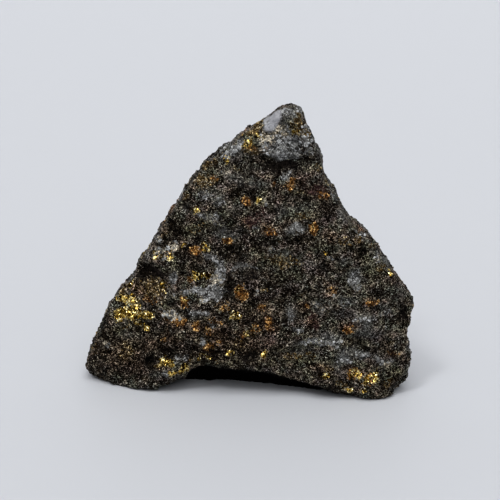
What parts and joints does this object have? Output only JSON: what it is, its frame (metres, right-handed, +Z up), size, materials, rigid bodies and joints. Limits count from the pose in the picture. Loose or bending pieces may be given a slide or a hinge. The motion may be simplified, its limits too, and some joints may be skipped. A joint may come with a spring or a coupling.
{
  "type": "chalcopyrite specimen",
  "caption": "Rough triangular hand specimen of massive chalcopyrite ore, upright on two broken feet, undercut between them.",
  "frame": {"origin": "on the floor, under the middle of the stone's bounding box", "axes": "+Z up, +X along the stone's width to the right as its broad front face is seen, +Y away from that face"},
  "size_m": [0.1026, 0.0338, 0.0921],
  "materials": {
    "massive_ore": "fine-grained dark brown-grey sulphide ore, sugary broken surface that glints from its grain faces",
    "chalcopyrite_grains": "brassy gold crystal faces in patches, metallic",
    "quartz_grains": "pale grey vein quartz, cloudy, glassy on its broken faces",
    "copper_stain": "orange-brown to copper-red tarnish in small spots"
  },
  "bodies": {
    "root": {"chalcopyrite_rock": "massive_ore"}
  },
  "joints": []
}
